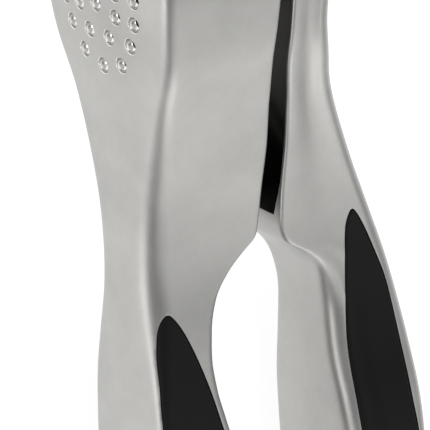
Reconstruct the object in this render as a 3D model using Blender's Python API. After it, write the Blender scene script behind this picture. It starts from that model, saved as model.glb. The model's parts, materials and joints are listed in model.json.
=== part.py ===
"""Garlic press: two die-cast handles on one hinge pin, a hopper with a drilled floor, and a swinging plunger.

The press lies on its side. Design coordinates, used for every outline below, have their origin on the middle
of the hopper's floor: X runs from the hopper's outer face towards the lever, Y runs from the handle ends
towards the hinge, and Z is the hinge pin's direction, with the press the same above and below Z = 0.
Everything hangs from one empty, which puts the finished press on the ground with its box centred on the origin.
"""

import math

import bmesh
import bpy
from mathutils import Matrix, Vector

# ---------------------------------------------------------------- driving dimensions, in metres

HEAD_HALF_WIDTH = 0.0184  # half the head's width along the hinge pin
FRAME_CENTRE = (0.0321, -0.0535)  # middle of the finished box, in design X and Y
GAP = 0.0003  # clearance between touching pieces

HINGE = (0.0280, 0.0280)
CHEEK_RADIUS = 0.0090
TONGUE_RADIUS = 0.0084
CHEEK_INNER = 0.0132  # half the slot between the cheeks
TONGUE_HALF = 0.0120
PIN_RADIUS = 0.0030
PIN_HEAD_RADIUS = 0.0046
HEAD_END = 0.0370
HANDLE_END = -0.1440
LEVER_START = 0.0170  # where the lever's cap ends in front of the cheeks

FLOOR_INNER = 0.0042
CAVITY_RADIUS = 0.0146
CAVITY_CENTRE = -0.0006
CAVITY_BACK = 0.0130
HOLE_RADIUS = 0.00145
HOLE_PITCH = 0.0041  # between rows of holes along Y
HOLE_TIP = -0.0114  # the single hole nearest the handles
# Each U of holes: where its first row lies in Y, then how far its two holes stand from the middle in every row.
HOLE_ROWS = [
    (-0.0100, (0.0053, 0.0084, 0.0099, 0.0103, 0.0103, 0.0103)),
    (-0.0058, (0.0028, 0.0052, 0.0054, 0.0054, 0.0054)),
    (-0.0006, (0.0, 0.0, 0.0)),
]

WALL = 0.0027  # shell thickness round the trough and the lever's channel
CHANNEL_START = 0.0115  # clears the plunger's column when the lever is wide open
CHANNEL_END = -0.0412
TROUGH_START = -0.0185
TROUGH_END = -0.0420

PLUNGER_PIN = (0.0310, 0.0040)
PLUNGER_PIN_RADIUS = 0.0020
PLUNGER_BOSS_RADIUS = 0.0037
PLUNGER_BOSS_HALF = 0.0090
PLATE_FACE = 0.0061
PLATE_THICKNESS = 0.0040
PLATE_RADIUS = 0.0142
PLATE_FRONT = -0.0129
PLATE_BACK = 0.0119

RECESS_FLOOR = 0.0028  # grip recesses stop this far from the middle plane
SKIN = 0.0020  # thickness of the soft grip skins

ROUND_SIDES = 32
HOLE_SIDES = 14

# Outlines as (y, value) control points, each read through a smooth curve.
HOPPER_OUTER_X = [
    (0.018, 0.0012), (0.000, 0.0020), (-0.010, 0.0031), (-0.020, 0.0041), (-0.034, 0.0046),
    (-0.050, 0.0050), (-0.060, 0.0055), (-0.070, 0.0060), (-0.080, 0.0065), (-0.095, 0.0079), (-0.144, 0.0128),
]
HOPPER_INNER_X = [
    (0.018, 0.0252), (-0.003, 0.0246), (-0.008, 0.0244), (-0.018, 0.0262), (-0.029, 0.0275),
    (-0.038, 0.0277), (-0.0434, 0.0274), (-0.0446, 0.0267), (-0.0458, 0.0253), (-0.0490, 0.0221),
    (-0.0532, 0.0194), (-0.0583, 0.0181), (-0.0633, 0.0178), (-0.0687, 0.0185), (-0.0741, 0.0200),
    (-0.084, 0.0229), (-0.098, 0.0252), (-0.120, 0.0265), (-0.144, 0.0262),
]
HOPPER_HALF_WIDTH = [
    (0.002, 0.0184), (-0.008, 0.0171), (-0.018, 0.0131), (-0.029, 0.0103), (-0.038, 0.0084),
    (-0.047, 0.0077), (-0.060, 0.0090), (-0.070, 0.0099), (-0.090, 0.0108), (-0.120, 0.0112), (-0.144, 0.0108),
]
LEVER_OUTER_X = [
    (0.017, 0.0346), (0.003, 0.0354), (0.000, 0.0353), (-0.0035, 0.0351), (-0.0075, 0.0356), (-0.012, 0.0370),
    (-0.0165, 0.0384), (-0.021, 0.0402), (-0.031, 0.0447), (-0.042, 0.0498), (-0.0515, 0.0537),
    (-0.058, 0.0559), (-0.070, 0.0587), (-0.084, 0.0602), (-0.105, 0.0610), (-0.144, 0.0596),
]
LEVER_INNER_X = [
    (0.017, 0.0270), (-0.0085, 0.0274), (-0.019, 0.0297), (-0.029, 0.0309), (-0.0420, 0.0313),
    (-0.0462, 0.0328), (-0.0487, 0.0365), (-0.052, 0.0397), (-0.0555, 0.0411), (-0.0606, 0.0421),
    (-0.068, 0.0426), (-0.077, 0.0437), (-0.085, 0.0448), (-0.098, 0.0461), (-0.118, 0.0468), (-0.144, 0.0452),
]
LEVER_HALF_WIDTH = [
    (0.002, 0.0184), (-0.008, 0.0171), (-0.018, 0.0134), (-0.029, 0.0109), (-0.038, 0.0094),
    (-0.047, 0.0088), (-0.056, 0.0088), (-0.062, 0.0091), (-0.069, 0.0099), (-0.077, 0.0116), (-0.086, 0.0126),
    (-0.105, 0.0132), (-0.125, 0.0132), (-0.144, 0.0126),
]
EDGE_RADIUS = [
    (0.002, 0.0019), (-0.010, 0.0021), (-0.018, 0.0024), (-0.030, 0.0036), (-0.042, 0.0040),
    (-0.052, 0.0040), (-0.060, 0.0030), (-0.070, 0.0018), (-0.144, 0.0018),
]
INNER_EDGE_RADIUS = [(-0.044, 0.0006), (-0.056, 0.0014), (-0.144, 0.0016)]
LEVER_EDGE_RADIUS = 0.0015
# Grip windows as (x, y) control points down one side, round the end and up the other.
HOPPER_GRIP = [
    (0.0090, -0.0539), (0.0074, -0.0556), (0.0067, -0.0599), (0.0067, -0.0655), (0.0070, -0.0740),
    (0.0088, -0.0930), (0.0112, -0.1150), (0.0133, -0.1320), (0.0165, -0.1385), (0.0215, -0.1370),
    (0.0243, -0.1270), (0.0244, -0.1150), (0.0232, -0.0960), (0.0207, -0.0820), (0.0184, -0.0742),
    (0.0162, -0.0675), (0.0135, -0.0607), (0.0111, -0.0561),
]
LEVER_GRIP = [
    (0.0462, -0.0427), (0.0451, -0.0442), (0.0447, -0.0475), (0.0448, -0.0544), (0.0448, -0.0600),
    (0.0448, -0.0660), (0.0452, -0.0720), (0.0458, -0.0780), (0.0466, -0.0850), (0.0479, -0.1020),
    (0.0482, -0.1170), (0.0479, -0.1310), (0.0495, -0.1380), (0.0542, -0.1388), (0.0577, -0.1320),
    (0.0593, -0.1180), (0.0594, -0.1000), (0.0583, -0.0860), (0.0571, -0.0780), (0.0560, -0.0692),
    (0.0546, -0.0617), (0.0531, -0.0561), (0.0510, -0.0512), (0.0484, -0.0458),
]

CAST = ("die-cast metal", (0.62, 0.62, 0.60), 0.34, 1.0)
STEEL = ("stainless steel", (0.60, 0.60, 0.60), 0.22, 1.0)
SOFT = ("soft black elastomer", (0.012, 0.012, 0.012), 0.62, 0.0)
HARD = ("black ABS", (0.020, 0.020, 0.020), 0.42, 0.0)
NYLON = ("natural nylon", (0.72, 0.70, 0.64), 0.45, 0.0)


# ---------------------------------------------------------------- scene helpers


def clear_scene():
    for old in list(bpy.data.objects):
        bpy.data.objects.remove(old, do_unlink=True)


def new_collection(name):
    made = bpy.data.collections.new(name)
    bpy.context.scene.collection.children.link(made)
    return made


def empty(name, place, parent=None):
    """An empty at a design place, with its parent's own place taken off."""
    made = bpy.data.objects.new(name, None)
    PARTS.objects.link(made)
    made.parent = parent
    made["place"] = place
    above = Vector(parent["place"]) if parent else Vector((0, 0, 0))
    made.location = Vector(place) - above
    return made


def finish(obj, parent, material):
    """Hang a piece, made in design coordinates, from the empty on its own axis and give it its material."""
    name, colour, roughness, metallic = material
    own = bpy.data.materials.new(f"{obj.name} {name}")
    own.use_nodes = True
    shader = own.node_tree.nodes["Principled BSDF"]
    shader.inputs["Base Color"].default_value = (*colour, 1.0)
    shader.inputs["Roughness"].default_value = roughness
    shader.inputs["Metallic"].default_value = metallic
    obj.data.materials.clear()
    obj.data.materials.append(own)
    obj.data.transform(Matrix.Translation(-Vector(parent["place"])))
    for modifier in obj.modifiers:
        if modifier.object.parent is None:
            modifier.object.parent = parent
            modifier.object.location -= Vector(parent["place"])
    obj.parent = parent
    obj.data.shade_smooth()
    obj.data.set_sharp_from_angle(angle=math.radians(35))
    CUTTERS.objects.unlink(obj)
    PARTS.objects.link(obj)
    obj.hide_render = False
    obj.display_type = "TEXTURED"
    return obj


def boolean(obj, other, operation):
    modifier = obj.modifiers.new(f"{operation.lower()} {other.name}", "BOOLEAN")
    modifier.operation = operation
    modifier.solver = "EXACT"
    modifier.object = other
    return obj


def cut(obj, *others):
    for other in others:
        boolean(obj, other, "DIFFERENCE")
    return obj


def solid_from(bm, name):
    """A hidden object from a bmesh; finish() turns the ones that are pieces into visible ones."""
    bmesh.ops.recalc_face_normals(bm, faces=bm.faces)
    mesh = bpy.data.meshes.new(name)
    bm.to_mesh(mesh)
    bm.free()
    obj = bpy.data.objects.new(name, mesh)
    CUTTERS.objects.link(obj)
    obj.hide_render = True
    obj.display_type = "WIRE"
    return obj


# ---------------------------------------------------------------- shapes


def curve_through(points):
    """A smooth function of y through (y, value) points that never overshoots them, level beyond the ends."""
    points = sorted(points)
    steps = [
        (b[1] - a[1]) / (b[0] - a[0]) for a, b in zip(points, points[1:])
    ]
    slopes = [steps[0]]
    for before, after in zip(steps, steps[1:]):
        same_way = before * after > 0
        slopes.append(2 * before * after / (before + after) if same_way else 0.0)
    slopes.append(steps[-1])

    def value(y):
        if y <= points[0][0]:
            return points[0][1]
        for i, (a, b) in enumerate(zip(points, points[1:])):
            if y <= b[0]:
                span = b[0] - a[0]
                t = (y - a[0]) / span
                return (
                    a[1] * (1 + 2 * t) * (1 - t) ** 2
                    + span * slopes[i] * t * (1 - t) ** 2
                    + b[1] * t * t * (3 - 2 * t)
                    + span * slopes[i + 1] * t * t * (t - 1)
                )
        return points[-1][1]

    return value


def closed_outline(points, steps):
    """A closed smooth outline through control points, with this many steps between two of them."""
    outline = []
    count = len(points)
    for i in range(count):
        p0, p1, p2, p3 = (Vector(points[(i + k) % count]) for k in (-1, 0, 1, 2))
        for k in range(steps):
            t = k / steps
            outline.append(
                tuple(
                    0.5
                    * (
                        2 * p1
                        + (p2 - p0) * t
                        + (2 * p0 - 5 * p1 + 4 * p2 - p3) * t * t
                        + (3 * p1 - p0 - 3 * p2 + p3) * t**3
                    )
                )
            )
    return outline


def arc(centre, radius, start, end, steps):
    """Points on an arc between two angles in degrees."""
    angles = [math.radians(start + (end - start) * i / steps) for i in range(steps + 1)]
    return [(centre[0] + radius * math.cos(a), centre[1] + radius * math.sin(a)) for a in angles]


def shrunk(outline, inset):
    """The outline moved inwards by inset along its own normals."""
    count = len(outline)
    area = sum(
        outline[i - 1][0] * outline[i][1] - outline[i][0] * outline[i - 1][1] for i in range(count)
    )
    turn = 1 if area > 0 else -1
    moved = []
    for i in range(count):
        along = (Vector(outline[(i + 1) % count]) - Vector(outline[i - 1])).normalized()
        inward = Vector((-along.y, along.x)) * turn
        moved.append(tuple(Vector(outline[i]) + inward * inset))
    return moved


def section(outer_x, inner_x, half_width, edge, crown, inner_edge):
    """Half a cross-section as (x, z), from the middle of the outer face round to the middle of the inner face.

    The outer face is crowned by `crown`, meets the side through a tangent arc that takes `edge` of the width,
    and the inner face has small rounded corners.
    """
    side = 1 if inner_x > outer_x else -1
    strip = half_width - edge
    lean = math.atan(2 * crown / strip)
    radius = edge / (1 - math.sin(lean))
    centre_x = outer_x + side * radius * math.cos(lean)
    points = [(outer_x - side * crown * (1 - (i / 4) ** 2), strip * i / 4) for i in range(5)]
    for i in range(1, 5):
        angle = lean + (math.pi / 2 - lean) * i / 4
        points.append(
            (centre_x - side * radius * math.cos(angle), half_width - radius + radius * math.sin(angle))
        )
    for i in range(3):
        angle = math.pi / 4 * i
        points.append(
            (
                inner_x - side * inner_edge * (1 - math.sin(angle)),
                half_width - inner_edge * (1 - math.cos(angle)),
            )
        )
    points.append((inner_x, 0.0))
    return points


def loft(name, stations, half_section):
    """Skin a row of cross-sections along Y, each mirrored in Z, and close both ends."""
    bm = bmesh.new()
    rings = []
    for y in stations:
        half = half_section(y)
        ring = half + [(x, -z) for x, z in reversed(half[1:-1])]
        rings.append([bm.verts.new((x, y, z)) for x, z in ring])
    for ring, following in zip(rings, rings[1:]):
        for i in range(len(ring)):
            bm.faces.new((ring[i - 1], ring[i], following[i], following[i - 1]))
    bm.faces.new(rings[0])
    bm.faces.new(rings[-1])
    return solid_from(bm, name)


def prism(name, outline, low, high, along_x=False):
    """A flat outline in X and Y (or Z and Y when along_x) extruded from low to high."""
    curve = bpy.data.curves.new(name, "CURVE")
    curve.dimensions = "2D"
    curve.fill_mode = "BOTH"
    curve.extrude = (high - low) / 2
    spline = curve.splines.new("POLY")
    spline.points.add(len(outline) - 1)
    for point, (a, b) in zip(spline.points, outline):
        point.co = (a, b, 0, 1)
    spline.use_cyclic_u = True
    flat = bpy.data.objects.new(name, curve)
    bpy.context.scene.collection.objects.link(flat)
    graph = bpy.context.evaluated_depsgraph_get()
    mesh = bpy.data.meshes.new_from_object(flat.evaluated_get(graph))
    bpy.data.objects.remove(flat, do_unlink=True)
    bm = bmesh.new()
    bm.from_mesh(mesh)
    bmesh.ops.remove_doubles(bm, verts=bm.verts, dist=0.000001)
    bmesh.ops.translate(bm, verts=bm.verts, vec=(0, 0, (low + high) / 2))
    if along_x:
        turn = Matrix(((0, 0, 1), (0, 1, 0), (-1, 0, 0)))
        bmesh.ops.rotate(bm, verts=bm.verts, cent=(0, 0, 0), matrix=turn)
    return solid_from(bm, name)


def cylinder(name, centre, radius, low, high, sides=ROUND_SIDES):
    """A round bar along Z between two heights."""
    bm = bmesh.new()
    add_cylinder(bm, radius, Matrix.Translation((*centre, (low + high) / 2)), high - low, sides)
    return solid_from(bm, name)


def add_cylinder(bm, radius, place, depth, sides):
    bmesh.ops.create_cone(
        bm, cap_ends=True, segments=sides, radius1=radius, radius2=radius, depth=depth, matrix=place
    )


def turned(name, centre, profile, sides=ROUND_SIDES):
    """A piece turned about Z from a closed profile of (radius, z) points."""
    bm = bmesh.new()
    ring = [bm.verts.new((centre[0] + r, centre[1], z)) for r, z in profile]
    edges = [bm.edges.new((ring[i - 1], ring[i])) for i in range(len(ring)) if not on_axis(profile, i)]
    bmesh.ops.spin(
        bm, geom=ring + edges, cent=(*centre, 0), axis=(0, 0, 1), angle=2 * math.pi, steps=sides,
        use_merge=True, use_duplicate=False,
    )
    bmesh.ops.remove_doubles(bm, verts=bm.verts, dist=0.000001)
    return solid_from(bm, name)


def on_axis(profile, i):
    return profile[i - 1][0] == 0 and profile[i][0] == 0


def tube(name, centre, inner, outer, low, high):
    return turned(name, centre, [(inner, low), (outer, low), (outer, high), (inner, high)])


def box(name, low, high):
    bm = bmesh.new()
    middle = (Vector(low) + Vector(high)) / 2
    bmesh.ops.create_cube(bm, size=1, matrix=Matrix.LocRotScale(middle, None, Vector(high) - Vector(low)))
    return solid_from(bm, name)


def evenly(start, end, step):
    count = max(1, round(abs(end - start) / step))
    return [start + (end - start) * i / count for i in range(count + 1)]


def rounding(y, start, end):
    """1 before start, falling as a quarter circle to 0 at end."""
    t = min(max((y - start) / (end - start), 0.0), 1.0)
    return math.sqrt(1 - t * t)


# ---------------------------------------------------------------- the two castings


def hopper_section(wall=0.0):
    """The hopper casting's cross-section as a function of y, moved inwards by wall."""
    outer, inner = curve_through(HOPPER_OUTER_X), curve_through(HOPPER_INNER_X)
    width, edge = curve_through(HOPPER_HALF_WIDTH), curve_through(EDGE_RADIUS)
    inner_edge = curve_through(INNER_EDGE_RADIUS)

    def at(y):
        head = rounding(y, HEAD_END - 0.0060, HEAD_END + 0.0004)
        tail = rounding(-y, -HANDLE_END - 0.0080, -HANDLE_END + 0.0003)
        half = width(y) - 0.0055 * (1 - head) - 0.0075 * (1 - tail) - wall
        outer_x = outer(y) + 0.0145 * (1 - rounding(y, 0.018, 0.0375)) + 0.0050 * (1 - tail) + wall
        inner_x = inner(y) - 0.0050 * (1 - tail)
        if y > 0.0185:
            inner_x = HINGE[0] + CHEEK_RADIUS * math.sqrt(max(0.0, 1 - ((y - HINGE[1]) / CHEEK_RADIUS) ** 2))
        return section(outer_x, inner_x, half, edge(y), 0.09 * (half - edge(y)), inner_edge(y))

    return at


def lever_section(wall=0.0):
    """The lever casting's cross-section as a function of y, moved inwards by wall."""
    outer, inner = curve_through(LEVER_OUTER_X), curve_through(LEVER_INNER_X)
    width, edge = curve_through(LEVER_HALF_WIDTH), LEVER_EDGE_RADIUS
    inner_edge = curve_through(INNER_EDGE_RADIUS)

    def at(y):
        tail = rounding(-y, -HANDLE_END - 0.0080, -HANDLE_END + 0.0003)
        half = width(y) - 0.0075 * (1 - tail) - wall
        outer_x = outer(y) - 0.0050 * (1 - tail) - wall
        inner_x = inner(y) + 0.0050 * (1 - tail) - (0.02 if wall else 0.0)
        return section(outer_x, inner_x, half, edge, 0.27 * (half - edge), inner_edge(y))

    return at


def handle_stations(start):
    round_end = [HANDLE_END + 0.0080 * (1 - math.sin(math.radians(a))) for a in range(0, 105, 15)]
    body = evenly(start, -0.040, 0.0040) + evenly(-0.0425, -0.062, 0.0022)
    return body + evenly(-0.068, HANDLE_END + 0.0100, 0.0075) + round_end


def hopper_stations():
    cheek = [HINGE[1] + CHEEK_RADIUS * math.cos(math.radians(a)) for a in range(0, 195, 15)]
    return cheek + handle_stations(0.0184)


def lever_stations():
    return handle_stations(LEVER_START)


def floor_holes():
    """Round holes through the hopper's floor: two rows shaped like a U round a middle column."""
    places = {(0.0, HOLE_TIP)}
    for first_y, offsets in HOLE_ROWS:
        for row, z in enumerate(offsets):
            places |= {(z, first_y + HOLE_PITCH * row), (-z, first_y + HOLE_PITCH * row)}
    bm = bmesh.new()
    for z, y in sorted(places):
        turn = Matrix.Rotation(math.pi / 2, 4, "Y")
        add_cylinder(bm, HOLE_RADIUS, Matrix.Translation((0.002, y, z)) @ turn, 0.010, HOLE_SIDES)
    return solid_from(bm, "floor hole cutter")


def cavity_outline():
    """The hopper's inside as (z, y): a half circle towards the handles and a flat end with round corners."""
    corner = 0.0030
    across, back = CAVITY_RADIUS - corner, CAVITY_BACK - corner
    return (
        arc((0, CAVITY_CENTRE), CAVITY_RADIUS, 180, 360, 24)
        + arc((across, back), corner, 0, 90, 4)
        + arc((-across, back), corner, 90, 180, 4)
    )


def slot_outline():
    """The slot between the cheeks as (x, y): open towards the lever, with a round cradle under its knuckle."""
    radius, low_x, high_x = CHEEK_RADIUS + 0.0001, 0.0254, 0.0500
    start_y, end_y = 0.0180, HEAD_END + 0.0040
    half_angle = math.degrees(math.acos((low_x - HINGE[0]) / radius))
    cradle = arc(HINGE, radius, 360 - half_angle, half_angle, 24)
    return [(high_x, start_y), (low_x, start_y), *cradle, (low_x, end_y), (high_x, end_y)]


def plate_outline():
    """The plunger's face as (z, y), the cavity's shape with working clearance."""
    corner = 0.0026
    across, back = PLATE_RADIUS - corner, PLATE_BACK - corner
    return (
        arc((0, PLATE_FRONT + PLATE_RADIUS), PLATE_RADIUS, 180, 360, 20)
        + arc((across, back), corner, 0, 90, 3)
        + arc((-across, back), corner, 90, 180, 3)
    )


def recess_cutters(name, outline):
    """The two grip windows' cutters, one from each side."""
    return [
        prism(f"{name} {side} recess", outline, low, high)
        for side, low, high in (("upper", RECESS_FLOOR, 0.03), ("lower", -0.03, -RECESS_FLOOR))
    ]


def make_hopper_handle():
    casting = loft("hopper_handle", hopper_stations(), hopper_section())
    slot = prism("cheek slot cutter", slot_outline(), -CHEEK_INNER, CHEEK_INNER)
    cavity = prism("cavity cutter", cavity_outline(), FLOOR_INNER, 0.050, along_x=True)
    trough = loft("trough cutter", evenly(TROUGH_START, TROUGH_END, 0.004), trough_section)
    bore = cylinder("hinge bore cutter", HINGE, PIN_RADIUS + GAP, -0.03, 0.03)
    seats = [
        cylinder(f"pin seat cutter {sign}", HINGE, PIN_HEAD_RADIUS + GAP, *sorted((sign * 0.0158, sign * 0.03)))
        for sign in (-1, 1)
    ]
    cut(casting, slot, cavity, trough, floor_holes(), bore, *seats)
    cut(casting, *recess_cutters("hopper", closed_outline(HOPPER_GRIP, 3)))
    return finish(casting, PRESS, CAST)


def trough_section(y):
    """The open trough between the cup and the handle."""
    outer, width = curve_through(HOPPER_OUTER_X), curve_through(HOPPER_HALF_WIDTH)
    return section(outer(y) + 0.0032, 0.040, width(y) - WALL - 0.0003, 0.0026, 0.0002, 0.0007)


def make_lever_handle():
    casting = loft("lever_handle", lever_stations(), lever_section())
    knuckle = cylinder("knuckle", HINGE, TONGUE_RADIUS, -TONGUE_HALF, TONGUE_HALF, 48)
    arm = box("knuckle arm", (0.0272, 0.0120, -TONGUE_HALF), (0.0360, 0.0262, TONGUE_HALF))
    boolean(casting, knuckle, "UNION")
    boolean(casting, arm, "UNION")
    channel = loft("channel cutter", evenly(CHANNEL_START, CHANNEL_END, 0.0042), lever_section(WALL))
    bore = cylinder("knuckle bore cutter", HINGE, PIN_RADIUS + GAP, -0.03, 0.03)
    pin_bore = cylinder("plunger bore cutter", PLUNGER_PIN, PLUNGER_PIN_RADIUS + GAP, -0.03, 0.03)
    cut(casting, channel, bore, pin_bore)
    cut(casting, *recess_cutters("lever", closed_outline(LEVER_GRIP, 3)))
    return finish(casting, LEVER, CAST)


# ---------------------------------------------------------------- grips


def plan_block(name, half_width, low_y, high_y):
    """A block, wide in X, whose half width in Z follows a curve; it trims a piece at a depth under the side."""
    ys = evenly(low_y, high_y, 0.006)
    right = [(half_width(y), y) for y in ys]
    left = [(-z, y) for z, y in reversed(right)]
    return prism(name, right + left, -0.02, 0.09, along_x=True)


def make_grips(name, outline, half_section, stations, width_points, parent):
    """A soft skin flush with the casting's side and a hard carrier under it, in each of the two windows."""
    width = curve_through(width_points)
    low_y, high_y = HANDLE_END - 0.002, -0.038
    window = shrunk(closed_outline(outline, 3), GAP)
    for side, sign in (("upper", 1), ("lower", -1)):
        ends = sorted((sign * (RECESS_FLOOR + GAP), sign * 0.03))
        under_skin = plan_block(f"{name} {side} skin base", lambda y: width(y) - SKIN, low_y, high_y)
        over_carrier = plan_block(f"{name} {side} carrier top", lambda y: width(y) - SKIN - GAP, low_y, high_y)
        skin = prism(f"{name}_grip_{side}", window, *ends)
        boolean(skin, loft(f"{name} {side} side", stations, half_section), "INTERSECT")
        finish(cut(skin, under_skin), parent, SOFT)
        carrier = prism(f"{name}_grip_carrier_{side}", window, *ends)
        finish(boolean(carrier, over_carrier, "INTERSECT"), parent, HARD)


# ---------------------------------------------------------------- hinge and plunger


def make_hinge():
    head_low, head_high = 0.0161, 0.0179
    profile = [
        (0, -0.0174), (PIN_RADIUS, -0.0174), (PIN_RADIUS, head_low), (PIN_HEAD_RADIUS, head_low),
        (PIN_HEAD_RADIUS, head_high - 0.0005), (PIN_HEAD_RADIUS - 0.0008, head_high), (0, head_high),
    ]
    finish(turned("hinge_pin", HINGE, profile), PRESS, STEEL)
    collar = [
        (PIN_RADIUS + GAP, -head_low), (PIN_HEAD_RADIUS, -head_low), (PIN_HEAD_RADIUS, -head_high + 0.0005),
        (PIN_HEAD_RADIUS - 0.0008, -head_high), (PIN_RADIUS + GAP, -head_high),
    ]
    finish(turned("hinge_pin_collar", HINGE, collar), PRESS, STEEL)
    for side, sign in (("upper", 1), ("lower", -1)):
        low, high = sorted((sign * (TONGUE_HALF + GAP), sign * (CHEEK_INNER - GAP)))
        washer = tube(f"hinge_washer_{side}", HINGE, PIN_RADIUS + GAP, 0.0078, low, high)
        finish(washer, PRESS, NYLON)


def make_plunger():
    plate = prism("plunger", plate_outline(), PLATE_FACE, PLATE_FACE + PLATE_THICKNESS, along_x=True)
    stem_top = PLUNGER_PIN[0]
    column = box(
        "plunger column", (PLATE_FACE + 0.002, 0.0005, -PLUNGER_BOSS_HALF), (stem_top, 0.0075, PLUNGER_BOSS_HALF)
    )
    rib = box("plunger rib", (PLATE_FACE + 0.002, -0.0085, -0.0013), (PLATE_FACE + 0.0110, 0.0100, 0.0013))
    boss = cylinder("plunger boss", PLUNGER_PIN, PLUNGER_BOSS_RADIUS, -PLUNGER_BOSS_HALF, PLUNGER_BOSS_HALF)
    for addition in (column, rib, boss):
        boolean(plate, addition, "UNION")
    window = box("plunger window cutter", (PLATE_FACE + 0.0070, -0.004, -0.0055), (0.0245, 0.012, 0.0055))
    bore = cylinder("plunger bore", PLUNGER_PIN, PLUNGER_PIN_RADIUS + GAP, -0.03, 0.03)
    finish(cut(plate, window, bore), PLUNGER, CAST)

    ends = 0.0178
    pin = cylinder("plunger_pin", PLUNGER_PIN, PLUNGER_PIN_RADIUS, -ends, ends)
    finish(pin, LEVER, STEEL)


# ---------------------------------------------------------------- build

clear_scene()
PARTS = new_collection("garlic press")
CUTTERS = new_collection("cutters")
PRESS = empty("press frame", (0, 0, 0))
LEVER = empty("lever axis", (*HINGE, 0), PRESS)
PLUNGER = empty("plunger axis", (*PLUNGER_PIN, 0), LEVER)

make_hopper_handle()
make_lever_handle()
make_grips("hopper", HOPPER_GRIP, hopper_section(), hopper_stations(), HOPPER_HALF_WIDTH, PRESS)
make_grips("lever", LEVER_GRIP, lever_section(), lever_stations(), LEVER_HALF_WIDTH, LEVER)
make_hinge()
make_plunger()
PRESS.location = (-FRAME_CENTRE[0], -FRAME_CENTRE[1], HEAD_HALF_WIDTH)
bpy.context.view_layer.update()
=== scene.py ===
"""Garlic press: finished castings, soft grips, pins and plunger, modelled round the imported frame."""

import json
import math

import bmesh
import bpy
from mathutils import Matrix, Vector


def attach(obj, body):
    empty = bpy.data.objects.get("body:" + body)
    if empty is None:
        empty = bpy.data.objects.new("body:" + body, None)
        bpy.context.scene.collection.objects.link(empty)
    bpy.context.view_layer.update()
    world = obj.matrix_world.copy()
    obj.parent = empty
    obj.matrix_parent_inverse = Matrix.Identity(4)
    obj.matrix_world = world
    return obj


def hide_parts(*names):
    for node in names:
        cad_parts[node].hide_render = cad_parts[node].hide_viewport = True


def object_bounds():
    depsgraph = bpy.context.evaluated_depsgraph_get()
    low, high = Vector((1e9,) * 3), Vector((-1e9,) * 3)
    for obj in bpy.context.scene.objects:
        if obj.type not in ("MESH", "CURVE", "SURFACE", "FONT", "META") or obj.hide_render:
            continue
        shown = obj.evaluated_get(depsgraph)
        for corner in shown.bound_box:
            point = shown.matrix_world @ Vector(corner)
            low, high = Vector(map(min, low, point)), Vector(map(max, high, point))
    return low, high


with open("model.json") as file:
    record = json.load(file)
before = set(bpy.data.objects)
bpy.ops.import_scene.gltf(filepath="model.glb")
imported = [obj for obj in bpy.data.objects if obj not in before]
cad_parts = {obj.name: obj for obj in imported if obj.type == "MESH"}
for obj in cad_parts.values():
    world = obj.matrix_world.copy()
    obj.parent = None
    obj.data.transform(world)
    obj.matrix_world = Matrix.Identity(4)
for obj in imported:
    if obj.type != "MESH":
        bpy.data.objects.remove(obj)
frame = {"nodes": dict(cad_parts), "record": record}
cad_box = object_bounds()

bl_info = {
    "name": "Garlic Press",
    "version": (1, 0, 0),
    "blender": (4, 5, 0),
    "location": "View3D > Sidebar > Press",
    "description": "Builds a hinged garlic press with a drilled hopper, a plunger and soft grips",
    "category": "Add Mesh",
}

# ---------------------------------------------------------------- where things are

HINGE = (0.0280, 0.0280)
PLUNGER_PIN = (0.0310, 0.0040)
JOINTS = {joint["name"]: joint for joint in frame["record"]["behaviour"]["joints"]}
# The outlines are drawn from the middle of the hopper's floor; ORIGIN is where the frame holds that point.
ORIGIN = Vector(JOINTS["lever_hinge"]["pos_m"]) - Vector((*HINGE, 0))

HEAD_END = 0.0370
HANDLE_END = -0.1440
LEVER_START = 0.0170
HOPPER_NECK = 0.0184  # above this the hopper splits into its two round cheeks
CHEEK_RADIUS = 0.0090
CHEEK_INNER = 0.0132
TONGUE_RADIUS = 0.0084
TONGUE_HALF = 0.0120
SLOT_FLOOR = 0.0254
SLOT_START = 0.0180
FLOOR_INNER = 0.0042
CAVITY_RADIUS = 0.0146
CAVITY_CENTRE = -0.0006
CAVITY_BACK = 0.0130
CAVITY_CORNER = 0.0030
TROUGH_START = -0.0185
TROUGH_END = -0.0420
CHANNEL_START = 0.0115
CHANNEL_END = -0.0412
WALL = 0.0027
RECESS_FLOOR = 0.0028
GAP = 0.0003
HINGE_BORE = 0.0033
PLUNGER_PIN_BORE = 0.0023
SEAT_RADIUS = 0.0049
SEAT_FLOOR = 0.0158
THROUGH = 0.03  # reach of a cutter that goes right through, either way from the middle plane

HOLE_PITCH = 0.0041
HOLE_TIP = -0.0114
HOLE_FIELD = (-0.0140, 0.0135)  # the lengthwise stretch of floor that the holes take up
# Each row: where its first hole lies along the floor, then how far to either side each of its holes stands.
HOLE_ROWS = [
    (-0.0100, (0.0053, 0.0084, 0.0099, 0.0103, 0.0103, 0.0103)),
    (-0.0058, (0.0028, 0.0052, 0.0054, 0.0054, 0.0054)),
    (-0.0006, (0.0, 0.0, 0.0)),
]

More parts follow.
